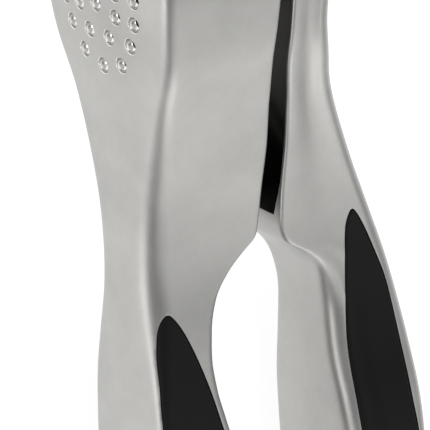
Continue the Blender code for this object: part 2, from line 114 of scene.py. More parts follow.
# Outlines as (y, value): where the faces lie, how wide the castings are and how round their edges.
HOPPER_OUTER_X = [
    (0.018, 0.0012), (0.000, 0.0020), (-0.010, 0.0031), (-0.020, 0.0041), (-0.034, 0.0046),
    (-0.050, 0.0050), (-0.060, 0.0055), (-0.070, 0.0060),
    (-0.080, 0.0065), (-0.095, 0.0079), (-0.144, 0.0128),
]
HOPPER_INNER_X = [
    (0.018, 0.0252), (-0.003, 0.0246), (-0.008, 0.0244), (-0.018, 0.0262), (-0.029, 0.0275),
    (-0.038, 0.0277), (-0.0434, 0.0274), (-0.0446, 0.0267), (-0.0458, 0.0253), (-0.0490, 0.0221),
    (-0.0532, 0.0194), (-0.0583, 0.0181), (-0.0633, 0.0178), (-0.0687, 0.0185), (-0.0741, 0.0200),
    (-0.084, 0.0229), (-0.098, 0.0252), (-0.120, 0.0265), (-0.144, 0.0262),
]
HOPPER_HALF_WIDTH = [
    (0.002, 0.0184), (-0.008, 0.0171), (-0.018, 0.0131), (-0.029, 0.0103), (-0.038, 0.0084),
    (-0.047, 0.0077), (-0.060, 0.0090), (-0.070, 0.0099),
    (-0.090, 0.0108), (-0.120, 0.0112), (-0.144, 0.0108),
]
LEVER_OUTER_X = [
    (0.017, 0.0346), (0.003, 0.0354), (0.000, 0.0353),
    (-0.0035, 0.0351), (-0.0075, 0.0356), (-0.012, 0.0370),
    (-0.0165, 0.0384), (-0.021, 0.0402), (-0.031, 0.0447), (-0.042, 0.0498), (-0.0515, 0.0537),
    (-0.058, 0.0559), (-0.070, 0.0587), (-0.084, 0.0602), (-0.105, 0.0610), (-0.144, 0.0596),
]
LEVER_INNER_X = [
    (0.017, 0.0270), (-0.0085, 0.0274), (-0.019, 0.0297), (-0.029, 0.0309), (-0.0420, 0.0313),
    (-0.0462, 0.0328), (-0.0487, 0.0365), (-0.052, 0.0397), (-0.0555, 0.0411), (-0.0606, 0.0421),
    (-0.068, 0.0426), (-0.077, 0.0437), (-0.085, 0.0448),
    (-0.098, 0.0461), (-0.118, 0.0468), (-0.144, 0.0452),
]
LEVER_HALF_WIDTH = [
    (0.002, 0.0184), (-0.008, 0.0171), (-0.018, 0.0134), (-0.029, 0.0109), (-0.038, 0.0094),
    (-0.047, 0.0088), (-0.056, 0.0088), (-0.062, 0.0091),
    (-0.069, 0.0099), (-0.077, 0.0116), (-0.086, 0.0126),
    (-0.105, 0.0132), (-0.125, 0.0132), (-0.144, 0.0126),
]
EDGE_RADIUS = [
    (0.002, 0.0019), (-0.010, 0.0021), (-0.018, 0.0024), (-0.030, 0.0036), (-0.042, 0.0040),
    (-0.052, 0.0040), (-0.060, 0.0030), (-0.070, 0.0018), (-0.144, 0.0018),
]
INNER_EDGE_RADIUS = [(-0.044, 0.0006), (-0.056, 0.0014), (-0.144, 0.0016)]
LEVER_EDGE_RADIUS = 0.0015
LEVER_INNER_EDGE = [(-0.042, 0.0006), (-0.050, 0.0018), (-0.060, 0.0032), (-0.144, 0.0034)]
LEVER_DISH = [
    (0.017, 0.0), (0.000, 0.00025), (-0.020, 0.00065), (-0.036, 0.00050), (-0.055, 0.0), (-0.144, 0.0),
]
LEVER_GROOVE = [(-0.048, 0.0), (-0.062, 0.00030), (-0.085, 0.00032), (-0.110, 0.0), (-0.144, 0.0)]
LEVER_RIM_WALL = [(-0.0415, 0.0021), (-0.034, 0.0008), (0.0115, 0.0007)]
DISH_SKEW = 0.7  # below 1, the dish is deepest nearer the outer edge
GROOVE_PLACE = 0.0048  # from the inner face to the middle of the groove
GROOVE_REACH = 0.0024
# How far each outline is averaged, either way, so that highlights run smoothly along it.
OUTER_BLUR = 0.006
WIDTH_BLUR = 0.005
EDGE_BLUR = 0.006
HOPPER_INNER_BLUR = 0.0006
LEVER_INNER_BLUR = 0.0016
# The outer faces are crowned by this share of the half-width of the strip between their edges.
HOPPER_CROWN = 0.09
LEVER_CROWN = 0.27
# The ends round off over a length and draw in as they do. The rounding runs slightly past each end, so
# that a small flat is left there.
HEAD_ROUND, HEAD_PAST, HEAD_NARROWING = 0.0060, 0.0004, 0.0055
TAIL_ROUND, TAIL_PAST, TAIL_NARROWING, TAIL_THINNING = 0.0080, 0.0003, 0.0075, 0.0050
NOSE_START, NOSE_END, NOSE_THINNING = 0.018, 0.0375, 0.0145
# Cross-sections stand twice as close here, where the inner faces step in.
CLOSE_START, CLOSE_END = -0.040, -0.060
CORE_STEP = 0.0015  # between two cross-sections of a hollow
# Grip windows as (x, y) control points down one side, round the end and up the other.
GRIP_OUTLINE_STEPS = 12  # between two control points
HOPPER_GRIP = [
    (0.0090, -0.0539), (0.0074, -0.0556), (0.0067, -0.0599), (0.0067, -0.0655), (0.0070, -0.0740),
    (0.0088, -0.0930), (0.0112, -0.1150), (0.0133, -0.1320), (0.0165, -0.1385), (0.0215, -0.1370),
    (0.0243, -0.1270), (0.0244, -0.1150), (0.0232, -0.0960), (0.0207, -0.0820), (0.0184, -0.0742),
    (0.0162, -0.0675), (0.0135, -0.0607), (0.0111, -0.0561),
]
LEVER_GRIP = [
    (0.0462, -0.0427), (0.0451, -0.0442), (0.0447, -0.0475), (0.0448, -0.0544), (0.0448, -0.0600),
    (0.0448, -0.0660), (0.0452, -0.0720), (0.0458, -0.0780), (0.0466, -0.0850), (0.0479, -0.1020),
    (0.0482, -0.1170), (0.0479, -0.1310), (0.0495, -0.1380), (0.0542, -0.1388), (0.0577, -0.1320),
    (0.0593, -0.1180), (0.0594, -0.1000), (0.0583, -0.0860), (0.0571, -0.0780), (0.0560, -0.0692),
    (0.0546, -0.0617), (0.0531, -0.0561), (0.0510, -0.0512), (0.0484, -0.0458),
]


# ---------------------------------------------------------------- what a user would change


class PressSizes(bpy.types.PropertyGroup):
    """Sizes of the details that finish the press."""

    hole_diameter: bpy.props.FloatProperty(
        name="Hole diameter", description="Across the mouth of each hole in the hopper's floor",
        default=0.0027, min=0.001, max=0.0036, unit="LENGTH", precision=5,
    )
    throat_diameter: bpy.props.FloatProperty(
        name="Throat diameter", description="Across the straight bore at the bottom of each dimpled hole",
        default=0.0015, min=0.0005, max=0.0025, unit="LENGTH", precision=5,
    )
    dimple_depth: bpy.props.FloatProperty(
        name="Dimple depth", description="Depth of the round dimple that leads into each hole",
        default=0.0012, min=0.0002, max=0.0018, unit="LENGTH", precision=5,
    )
    hole_lip: bpy.props.FloatProperty(
        name="Hole lip", description="Radius of the rounded lip at each hole's mouth",
        default=0.00015, min=0.00005, max=0.0006, unit="LENGTH", precision=5,
    )
    edge_break: bpy.props.FloatProperty(
        name="Edge break", description="Width of the small rounding on the castings' cut edges",
        default=0.0003, min=0.0, max=0.0006, unit="LENGTH", precision=5,
    )
    grip_edge: bpy.props.FloatProperty(
        name="Grip edge", description="Width over which a grip skin rolls down at its border",
        default=0.0006, min=0.0001, max=0.002, unit="LENGTH", precision=5,
    )
    ring_step: bpy.props.FloatProperty(
        name="Ring step", description="Distance between two cross-sections of a casting",
        default=0.0010, min=0.0005, max=0.004, unit="LENGTH", precision=5,
    )


class PressColours(bpy.types.PropertyGroup):
    """Base colours of the finishes."""

    cast_metal: bpy.props.FloatVectorProperty(
        name="Cast metal", description="Satin die-cast metal", default=(0.485, 0.48, 0.465), size=3,
        subtype="COLOR",
    )
    steel: bpy.props.FloatVectorProperty(
        name="Steel", description="Turned pins", default=(0.60, 0.60, 0.60), size=3, subtype="COLOR",
    )
    soft_black: bpy.props.FloatVectorProperty(
        name="Soft black", description="Soft-touch grip skins", default=(0.0045, 0.0042, 0.0042), size=3,
        subtype="COLOR",
    )
    hard_black: bpy.props.FloatVectorProperty(
        name="Hard black", description="Moulded carriers under the skins", default=(0.020, 0.020, 0.021),
        size=3, subtype="COLOR",
    )
    nylon: bpy.props.FloatVectorProperty(
        name="Nylon", description="Hinge washers", default=(0.72, 0.70, 0.64), size=3, subtype="COLOR",
    )
    floor: bpy.props.FloatVectorProperty(
        name="Floor", description="Plain pale floor", default=(0.3, 0.3, 0.3), size=3, subtype="COLOR",
    )


def sizes():
    return bpy.context.scene.press_sizes


def colours():
    return bpy.context.scene.press_colours


# ---------------------------------------------------------------- outlines


def curve_through(points):
    """A smooth function of y through (y, value) points that never overshoots them, level beyond the ends."""
    points = sorted(points)
    steps = [(b[1] - a[1]) / (b[0] - a[0]) for a, b in zip(points, points[1:])]
    slopes = [steps[0]]
    for before, after in zip(steps, steps[1:]):
        same_way = before * after > 0
        slopes.append(2 * before * after / (before + after) if same_way else 0.0)
    slopes.append(steps[-1])

    def value(y):
        if y <= points[0][0]:
            return points[0][1]
        for i, (a, b) in enumerate(zip(points, points[1:])):
            if y <= b[0]:
                span = b[0] - a[0]
                t = (y - a[0]) / span
                return (
                    a[1] * (1 + 2 * t) * (1 - t) ** 2
                    + span * slopes[i] * t * (1 - t) ** 2
                    + b[1] * t * t * (3 - 2 * t)
                    + span * slopes[i + 1] * t * t * (t - 1)
                )
        return points[-1][1]

    return value


def soft_curve(points, blur):
    """curve_through, averaged over a window of plus or minus blur, so that its curvature changes gently."""
    sharp = curve_through(points)
    offsets = [k / 6 for k in range(-6, 7)]
    weights = [1 + math.cos(math.pi * k) for k in offsets]

    def value(y):
        return sum(w * sharp(y + k * blur) for k, w in zip(offsets, weights)) / sum(weights)

    return value


def smooth_loop(points, steps):
    """A closed smooth outline through control points, with this many steps between two of them."""
    outline = []
    count = len(points)
    for i in range(count):
        p0, p1, p2, p3 = (Vector(points[(i + k) % count]) for k in (-1, 0, 1, 2))
        for k in range(steps):
            t = k / steps
            cubic = (3 * p1 - p0 - 3 * p2 + p3) * t**3 + (2 * p0 - 5 * p1 + 4 * p2 - p3) * t * t
            outline.append(0.5 * (2 * p1 + (p2 - p0) * t + cubic))
    return outline


def arc(centre, radius, start, end, steps):
    """Points on an arc between two angles in degrees."""
    angles = [math.radians(start + (end - start) * i / steps) for i in range(steps + 1)]
    return [(centre[0] + radius * math.cos(a), centre[1] + radius * math.sin(a)) for a in angles]


def evenly(start, end, step):
    count = max(1, round(abs(end - start) / step))
    return [start + (end - start) * i / count for i in range(count + 1)]


def rounding(y, start, end):
    """1 before start, falling as a quarter circle to 0 at end."""
    t = min(max((y - start) / (end - start), 0.0), 1.0)
    return math.sqrt(1 - t * t)


def section(outer_x, inner_x, half_width, edge, crown, inner_edge, dish=0.0, groove=0.0):
    """Half a cross-section as (x, z), from the middle of the outer face to the middle of the inner face.

    The side between the two is dished by dish and has a groove that deep beside its inner edge.
    """
    strip_steps, edge_steps, side_steps, inner_edge_steps, inner_steps = 16, 8, 24, 5, 8
    side = 1 if inner_x > outer_x else -1
    strip = half_width - edge
    lean = math.atan(2 * crown / strip)
    radius = edge / (1 - math.sin(lean))
    centre_x = outer_x + side * radius * math.cos(lean)
    points = [
        (outer_x - side * crown * (1 - (i / strip_steps) ** 2), strip * i / strip_steps)
        for i in range(strip_steps + 1)
    ]
    for i in range(1, edge_steps + 1):
        angle = lean + (math.pi / 2 - lean) * i / edge_steps
        points.append(
            (centre_x - side * radius * math.cos(angle), half_width - radius + radius * math.sin(angle))
        )
    start, end = points[-1][0], inner_x - side * inner_edge
    for i in range(1, side_steps):
        x = start + (end - start) * i / side_steps
        depth = dish * math.sin(math.pi * (i / side_steps) ** DISH_SKEW) ** 2
        off_centre = (abs(inner_x - x) - GROOVE_PLACE) / GROOVE_REACH
        if abs(off_centre) < 1:
            depth += groove * math.cos(math.pi / 2 * off_centre) ** 2
        points.append((x, half_width - depth))
    for i in range(inner_edge_steps + 1):
        angle = math.pi / 2 * i / inner_edge_steps
        points.append(
            (
                inner_x - side * inner_edge * (1 - math.sin(angle)),
                half_width - inner_edge * (1 - math.cos(angle)),
            )
        )
    reach = half_width - inner_edge
    points += [(inner_x, reach * (1 - i / inner_steps)) for i in range(1, inner_steps + 1)]
    return points


def end_of_handle(y):
    """How far a handle's end has drawn in at y: 0 before it rounds off, and more and more to its tip."""
    return 1 - rounding(-y, -HANDLE_END - TAIL_ROUND, -HANDLE_END + TAIL_PAST)


def hopper_section():
    """The hopper casting's cross-section as a function of y."""
    outer, inner = soft_curve(HOPPER_OUTER_X, OUTER_BLUR), soft_curve(HOPPER_INNER_X, HOPPER_INNER_BLUR)
    width, edge = soft_curve(HOPPER_HALF_WIDTH, WIDTH_BLUR), soft_curve(EDGE_RADIUS, EDGE_BLUR)
    inner_edge = curve_through(INNER_EDGE_RADIUS)

    def at(y):
        head = 1 - rounding(y, HEAD_END - HEAD_ROUND, HEAD_END + HEAD_PAST)
        nose, tail = 1 - rounding(y, NOSE_START, NOSE_END), end_of_handle(y)
        half = width(y) - HEAD_NARROWING * head - TAIL_NARROWING * tail
        outer_x = outer(y) + NOSE_THINNING * nose + TAIL_THINNING * tail
        inner_x = inner(y) - TAIL_THINNING * tail
        if y > HOPPER_NECK:
            from_hinge = (y - HINGE[1]) / CHEEK_RADIUS
            inner_x = HINGE[0] + CHEEK_RADIUS * math.sqrt(max(0.0, 1 - from_hinge**2))
        return section(outer_x, inner_x, half, edge(y), HOPPER_CROWN * (half - edge(y)), inner_edge(y))

    return at


def lever_section(wall=0.0):
    """The lever casting's cross-section as a function of y, or its channel's where wall is given.

    The channel lies wall inside the casting, plain-sided, and runs well past the inner face.
    """
    past_face = 0.02
    outer, inner = soft_curve(LEVER_OUTER_X, OUTER_BLUR), soft_curve(LEVER_INNER_X, LEVER_INNER_BLUR)
    width, edge = soft_curve(LEVER_HALF_WIDTH, WIDTH_BLUR), LEVER_EDGE_RADIUS
    inner_edge = curve_through(INNER_EDGE_RADIUS if wall else LEVER_INNER_EDGE)
    dish, groove = curve_through(LEVER_DISH), curve_through(LEVER_GROOVE)

    def at(y):
        tail = end_of_handle(y)
        half = width(y) - TAIL_NARROWING * tail - wall
        outer_x = outer(y) - TAIL_THINNING * tail - wall
        inner_x = inner(y) + TAIL_THINNING * tail - (past_face if wall else 0.0)
        relief = (0.0, 0.0) if wall else (dish(y), groove(y))
        return section(outer_x, inner_x, half, edge, LEVER_CROWN * (half - edge), inner_edge(y), *relief)

    return at


def rim_flare():
    """A cutter that opens the lever's channel towards its rim, so that the wall is thin where it ends."""
    depth, past_rim, inside_wall = 0.0036, 0.0010, 0.0001
    inner, width = soft_curve(LEVER_INNER_X, LEVER_INNER_BLUR), soft_curve(LEVER_HALF_WIDTH, WIDTH_BLUR)
    rim_wall = curve_through(LEVER_RIM_WALL)

    def at(y):
        mouth, throat = width(y) - rim_wall(y), width(y) - WALL - inside_wall
        low, high = inner(y) - past_rim, inner(y) + depth
        slope = (mouth - throat) / (high - inner(y))
        return [(low, 0), (low, mouth + slope * past_rim), (high, throat), (high, 0)]

    return at


def trough_section(y):
    """The cross-section of the open trough between the cup and the handle."""
    floor_thickness, past_rim, side_wall = 0.0032, 0.040, WALL + 0.0003
    floor_edge, floor_crown, rim_edge = 0.0026, 0.0002, 0.0007
    outer, width = curve_through(HOPPER_OUTER_X), curve_through(HOPPER_HALF_WIDTH)
    low, half = outer(y) + floor_thickness, width(y) - side_wall
    return section(low, past_rim, half, floor_edge, floor_crown, rim_edge)


# ---------------------------------------------------------------- mesh helpers


# The kinds of surface, held in a mesh's material indices while it is being cut.
# As-cast faces are rough and darkened with painted shade; drilled faces are smooth and brightened with a
# painted highlight.
POLISHED, AS_CAST_SHADED, DRILLED_HIGHLIT = range(3)
SAME_POINT = 1e-7


def loft(name, stations, half_section):
    """A closed skin over a row of cross-sections along Y, each mirrored in Z."""
    bm = bmesh.new()
    before = None
    for y in stations:
        half = half_section(y)
        ring = [bm.verts.new((x, y, z)) for x, z in half + [(x, -z) for x, z in reversed(half[1:-1])]]
        edges = [bm.edges.new((ring[i - 1], ring[i])) for i in range(len(ring))]
        if before:
            bmesh.ops.bridge_loops(bm, edges=before + edges)
        else:
            bmesh.ops.contextual_create(bm, geom=edges)
        before = edges
    bmesh.ops.contextual_create(bm, geom=before)
    return piece_from(bm, name)


def prism(name, outline, low, high, along_x=False):
    """A flat outline in X and Y (or Z and Y when along_x) extruded from low to high."""
    bm = bmesh.new()
    ring = [bm.verts.new((a, b, low)) for a, b in outline]
    face = bm.faces.new(ring)
    grown = bmesh.ops.extrude_face_region(bm, geom=[face], use_keep_orig=True)["geom"]
    moved = [v for v in grown if isinstance(v, bmesh.types.BMVert)]
    bmesh.ops.translate(bm, verts=moved, vec=(0, 0, high - low))
    if along_x:
        turn = Matrix(((0, 0, 1), (0, 1, 0), (-1, 0, 0)))
        bmesh.ops.rotate(bm, verts=bm.verts, cent=(0, 0, 0), matrix=turn)
    return piece_from(bm, name)


def turned(name, centre, profile, sides=96):
    """A solid turned about Z from (radius, z) points that start and end on the axis, or a ring off it."""
    bm = bmesh.new()
    spin_profile(bm, profile, sides)
    bmesh.ops.translate(bm, verts=bm.verts, vec=(*centre, 0))
    return piece_from(bm, name)


def spin_profile(bm, profile, sides):
    """Spin a profile of (radius, z) points once about Z inside bm."""
    closed = profile[0][0] > 0
    verts = [bm.verts.new((r, 0, z)) for r, z in profile]
    edges = [bm.edges.new(pair) for pair in zip(verts, verts[1:])]
    if closed:
        edges.append(bm.edges.new((verts[-1], verts[0])))
    bmesh.ops.spin(
        bm, geom=verts + edges, cent=(0, 0, 0), axis=(0, 0, 1), angle=2 * math.pi, steps=sides,
        use_merge=True, use_duplicate=False,
    )


def bar(name, centre, radius, low, high):
    return turned(name, centre, [(0, low), (radius, low), (radius, high), (0, high)])


def block(name, low, high):
    bm = bmesh.new()
    middle = (Vector(low) + Vector(high)) / 2
    bmesh.ops.create_cube(bm, size=1, matrix=Matrix.LocRotScale(middle, None, Vector(high) - Vector(low)))
    return piece_from(bm, name)


def piece_from(bm, name):
    """An object from a bmesh, with its doubles merged and its faces outwards."""
    return object_of(closed_mesh(bm, name))


def closed_mesh(bm, name):
    """A mesh from a bmesh that holds one closed shell, with its doubles merged and its faces outwards."""
    bmesh.ops.remove_doubles(bm, verts=bm.verts, dist=SAME_POINT)
    bmesh.ops.recalc_face_normals(bm, faces=bm.faces)
    if bm.calc_volume(signed=True) < 0:
        bmesh.ops.reverse_faces(bm, faces=bm.faces)
    mesh = bpy.data.meshes.new(name)
    bm.to_mesh(mesh)
    bm.free()
    return mesh


def object_of(mesh):
    """An object with an empty material slot for each kind of surface: polished, as cast (with painted shade)
    and drilled (with a painted highlight).
    """
    for _ in (POLISHED, AS_CAST_SHADED, DRILLED_HIGHLIT):
        mesh.materials.append(None)
    obj = bpy.data.objects.new(mesh.name, mesh)
    bpy.context.scene.collection.objects.link(obj)
    return obj


def combine(obj, *changes):
    """Apply Booleans, given as (operation, other object), one after another, and remove the others."""
    for operation, other in changes:
        modifier = obj.modifiers.new(other.name, "BOOLEAN")
        modifier.operation = operation
        modifier.solver = "EXACT"
        modifier.object = other
    graph = bpy.context.evaluated_depsgraph_get()
    made = bpy.data.meshes.new_from_object(obj.evaluated_get(graph))
    obj.modifiers.clear()
    old, obj.data = obj.data, made
    made.name = obj.name
    bpy.data.meshes.remove(old)
    for _, other in changes:
        bpy.data.objects.remove(other, do_unlink=True)


def cut(obj, *others):
    combine(obj, *[("DIFFERENCE", other) for other in others])


def break_edges(obj, width, inside=None):
    """A narrow rounding on the sharp edges, or on those of them that inside picks by their middles."""
    limit, crumb, sliver = math.radians(40), 0.000008, 0.000005
    bm = bmesh.new()
    bm.from_mesh(obj.data)
    bmesh.ops.remove_doubles(bm, verts=bm.verts, dist=crumb)
    bmesh.ops.dissolve_degenerate(bm, edges=bm.edges, dist=sliver)
    sharp = [
        edge for edge in bm.edges
        if len(edge.link_faces) == 2 and edge.calc_face_angle(0.0) > limit
        and (inside is None or inside((edge.verts[0].co + edge.verts[1].co) / 2))
    ]
    bmesh.ops.bevel(
        bm, geom=sharp, offset=width, offset_type="OFFSET", affect="EDGES", segments=2, profile=0.5,
        material=-1, clamp_overlap=True,
    )
    bm.to_mesh(obj.data)
    bm.free()


def mark(cutter, surface):
    """Say what kind of surface a cutter leaves behind."""
    cutter.data.polygons.foreach_set("material_index", [surface] * len(cutter.data.polygons))


def place(obj, body, material, slot, nodes):
    """Move a piece from its drawing to the frame, shade it, and say what it rides on and stands for."""
    mesh, sharp_from = obj.data, math.radians(38)
    mesh.transform(Matrix.Translation(ORIGIN))
    mesh.shade_smooth()
    mesh.set_sharp_from_angle(angle=sharp_from)
    for name, surface in (("as_cast_shaded", AS_CAST_SHADED), ("drilled_highlit", DRILLED_HIGHLIT)):
        marks = [float(face.material_index == surface) for face in mesh.polygons]
        mesh.attributes.new(name, "FLOAT", "FACE").data.foreach_set("value", marks)
    mesh.polygons.foreach_set("material_index", [0] * len(mesh.polygons))
    mesh.materials.clear()
    mesh.materials.append(material)
    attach(obj, body)
    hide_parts(*nodes)


# ---------------------------------------------------------------- finishes


class Value:
    """A number in a node tree, so that shader maths reads as an ordinary expression."""

    def __init__(self, finish, socket):
        self.finish, self.socket = finish, socket

    def combined(self, operation, first, second):
        return self.finish.node("ShaderNodeMath", {"operation": operation}, {0: first, 1: second})

    def __add__(self, other):
        return self.combined("ADD", self, other)

    def __sub__(self, other):
        return self.combined("SUBTRACT", self, other)

    def __rsub__(self, other):
        return self.combined("SUBTRACT", other, self)

    def __mul__(self, other):
        return self.combined("MULTIPLY", self, other)

    __radd__, __rmul__ = __add__, __mul__


class Shading:
    """The node tree of a material or a world, and the one shader in it that values are fed to."""

    def __init__(self, owner, shader):
        owner.use_nodes = True
        self.tree = owner.node_tree
        self.shader = self.tree.nodes[shader]

    def node(self, kind, settings=None, inputs=None, out=0):
        """A node of this type, with its settings made first and then its sockets set or linked."""
        made = self.tree.nodes.new(kind)
        for name, value in (settings or {}).items():
            setattr(made, name, value)
        for name, value in (inputs or {}).items():
            if isinstance(value, Value):
                self.tree.links.new(value.socket, made.inputs[name])
            else:
                made.inputs[name].default_value = value
        return Value(self, made.outputs[out])

    def feed(self, socket, value):
        self.tree.links.new(value.socket, self.shader.inputs[socket])


class Finish(Shading):
    """A node material that starts from one Principled shader."""

    def __init__(self, name, constants=()):
        self.material = bpy.data.materials.new(name)
        super().__init__(self.material, "Principled BSDF")
        for socket, value in dict(constants).items():
            self.shader.inputs[socket].default_value = value

    def position(self):
        return self.node("ShaderNodeTexCoord", out="Object")

    def stretched(self, place, scale):
        return self.node("ShaderNodeMapping", inputs={"Vector": place, "Scale": scale})

    def marked(self, name):
        """1 on the faces of this kind of surface and 0 elsewhere."""
        return self.node("ShaderNodeAttribute", {"attribute_name": name}, out=2)

    def noise(self, place, size, detail=2.0, roughness=0.5):
        """Cloudy 0 to 1 noise whose lumps are about size metres across."""
        inputs = {"Vector": place, "Scale": 1 / size, "Detail": detail, "Roughness": roughness}
        return self.node("ShaderNodeTexNoise", inputs=inputs)

    def between(self, factor, first, second):
        """A colour that runs from first to second with the factor."""
        first, second = [c if isinstance(c, Value) else (*c, 1) for c in (first, second)]
        sockets = {"Factor": factor, 6: first, 7: second}
        return self.node("ShaderNodeMix", {"data_type": "RGBA"}, sockets, out=2)

    def bump(self, height, strength, distance):
        inputs = {"Height": height, "Strength": strength, "Distance": distance}
        self.feed("Normal", self.node("ShaderNodeBump", inputs=inputs))


def tinted(colour, factor):
    return tuple(min(1.0, channel * factor) for channel in colour)


def cast_metal_finish():
    """Satin die-cast metal: a tumbled micro texture, faint lengthwise draw marks and soft clouding.

    What the polishing wheel never reaches is left rough and darkened with painted shade, and the dimples of
    the holes are smooth and brightened with a painted highlight.
    """
    finish = Finish("satin cast metal", {"Metallic": 1.0})
    place = finish.position()
    cloud = finish.noise(place, 0.014, 3.0)
    mottle = finish.noise(place, 0.0022, 3.0)
    grain = finish.noise(place, 0.00030, 2.0)
    drawn = finish.noise(finish.stretched(place, (1.0, 0.10, 1.0)), 0.0005, 2.0)
    tone = cloud * 0.8 + mottle * 0.2
    shade = (tone - 0.5) * 1.6 + grain * 0.5 + 0.25
    base = colours().cast_metal
    as_cast_shaded, drilled_highlit = finish.marked("as_cast_shaded"), finish.marked("drilled_highlit")
    polished = finish.between(shade, tinted(base, 0.84), tinted(base, 1.14))
    # Painted highlight: the dimples of the holes get a base colour 1.75 times as bright, standing in for the
    # light they catch; their lower roughness is their real smoother finish.
    outside = finish.between(drilled_highlit, polished, tinted(base, 1.75))
    # Painted shade: the hollows' faces get a base colour a third as bright, standing in for the shade inside
    # the cavity, trough and channel.
    finish.feed("Base Color", finish.between(as_cast_shaded, outside, tinted(base, 0.33)))
    finish.feed("Roughness", cloud * 0.10 + grain * 0.08 + 0.32 + as_cast_shaded * 0.12 - drilled_highlit * 0.20)
    finish.bump(grain * 0.8 + drawn * 0.4 + mottle * 0.3, 0.35, 0.00003)
    return finish.material


def steel_finish():
    """Turned steel with a fine even grain."""
    finish = Finish("turned steel", {"Metallic": 1.0})
    place = finish.position()
    grain = finish.noise(place, 0.0004, 2.0)
    base = colours().steel
    finish.feed("Base Color", finish.between(grain, tinted(base, 0.9), tinted(base, 1.05)))
    finish.feed("Roughness", grain * 0.12 + 0.20)
    finish.bump(grain, 0.2, 0.00002)
    return finish.material


def soft_finish():
    """Matte soft-touch elastomer with a fine spark-eroded grain."""
    finish = Finish("soft black", {"Specular IOR Level": 0.22})
    place = finish.position()
    grain = finish.noise(place, 0.00035, 3.0)
    dust = finish.noise(place, 0.006, 3.0)
    base = colours().soft_black
    finish.feed("Base Color", finish.between(dust, tinted(base, 0.85), tinted(base, 1.25)))
    finish.feed("Roughness", grain * 0.15 + dust * 0.08 + 0.50)
    finish.bump(grain, 0.5, 0.00005)
    return finish.material


def moulded_finish(name, colour, roughness):
    """A moulded hard plastic with a slight orange peel."""
    finish = Finish(name)
    place = finish.position()
    peel = finish.noise(place, 0.0012, 2.0)
    finish.feed("Base Color", finish.between(peel, tinted(colour, 0.93), tinted(colour, 1.06)))
    finish.feed("Roughness", peel * 0.10 + roughness)
    finish.bump(peel, 0.2, 0.00004)
    return finish.material


MADE = {}


def finish_named(name):
    """Each finish, made once."""
    makers = {
        "cast metal": cast_metal_finish,
        "steel": steel_finish,
        "soft": soft_finish,
        "carrier": lambda: moulded_finish("moulded carrier", colours().hard_black, 0.35),
        "nylon": lambda: moulded_finish("nylon", colours().nylon, 0.40),
    }
    if name not in MADE:
        MADE[name] = makers[name]()
    return MADE[name]


# ---------------------------------------------------------------- castings


def handle_stations(start):
    """Where a handle's cross-sections stand, closer together where its shape changes fast."""
    step, close_step = sizes().ring_step, sizes().ring_step / 2
    round_end = [HANDLE_END + TAIL_ROUND * (1 - math.sin(math.radians(a))) for a in range(5, 91, 5)]
    return (
        evenly(start, CLOSE_START, step)
        + evenly(CLOSE_START - 0.0004, CLOSE_END, close_step)
        + evenly(CLOSE_END - 0.001, HANDLE_END + TAIL_ROUND, step)
        + round_end
    )


def recess_cutters(name, control_points):
    """What sinks a grip window into each side of a handle."""
    outline = smooth_loop(control_points, GRIP_OUTLINE_STEPS)
    return [
        prism(f"{name} {side} recess", outline, low, high)
        for side, low, high in (("upper", RECESS_FLOOR, THROUGH), ("lower", -THROUGH, -RECESS_FLOOR))
    ]


def hole_places():
    """The holes' centres as (z, y) on the floor, the same on both sides of the middle."""
    places = {(0.0, HOLE_TIP)}
    for first_y, offsets in HOLE_ROWS:
        for row, z in enumerate(offsets):
            places |= {(z, first_y + HOLE_PITCH * row), (-z, first_y + HOLE_PITCH * row)}
    return sorted(places)


def face_point(half_section, y, z):
    """The outer face's x at a place on it."""
    half = half_section(y)
    for (x0, z0), (x1, z1) in zip(half, half[1:]):
        if z0 <= abs(z) <= z1:
            return x0 + (x1 - x0) * (abs(z) - z0) / (z1 - z0)
    return half[0][0]


def hole_cutter():
    """All the floor holes, each a round dimple square to the outer face with a bore at its bottom."""
    depth, stand_off, sides, step = 0.0045, 0.0008, 37, 0.0004
    radius, lip = sizes().hole_diameter / 2, sizes().hole_lip
    at = hopper_section()
    lip_arc = [
        (radius + lip * (1 - math.cos(math.radians(a))), lip * (math.sin(math.radians(a)) - 1))
        for a in range(12, 80, 22)
    ]
    dimple_depth, throat = sizes().dimple_depth, sizes().throat_diameter / 2
    throat_angle = math.degrees(math.acos(throat / radius))
    bowl = arc((0, 0), 1, -throat_angle, -4, 12)
    profile = [(0, -depth), (throat, -depth)]
    profile += [(radius * across, dimple_depth * down - lip) for across, down in bowl]
    profile += [*lip_arc, (lip_arc[-1][0], stand_off), (0, stand_off)]
    all_holes = bmesh.new()
    for z, y in hole_places():
        hole = bmesh.new()
        spin_profile(hole, profile, sides)
        slope_y = (face_point(at, y + step, z) - face_point(at, y - step, z)) / (2 * step)
        slope_z = (face_point(at, y, z + step) - face_point(at, y, z - step)) / (2 * step)
        outward = Vector((-1, slope_y, slope_z)).normalized()
        turn = outward.to_track_quat("Z", "Y").to_matrix().to_4x4()
        spot = Matrix.Translation((face_point(at, y, z), y, z)) @ turn
        bmesh.ops.transform(hole, matrix=spot, verts=hole.verts)
        mesh = closed_mesh(hole, "hole")
        all_holes.from_mesh(mesh)
        bpy.data.meshes.remove(mesh)
    cutter = bpy.data.meshes.new("floor holes")
    all_holes.to_mesh(cutter)
    all_holes.free()
    drills = object_of(cutter)
    # The holes' faces are marked for their smoother finish and for the painted highlight in the metal's
    # colour.
    mark(drills, DRILLED_HIGHLIT)
    return drills


def clear_of_the_holes(place):
    above_floor = FLOOR_INNER + 0.0004
    return place.x > above_floor or not HOLE_FIELD[0] < place.y < HOLE_FIELD[1]


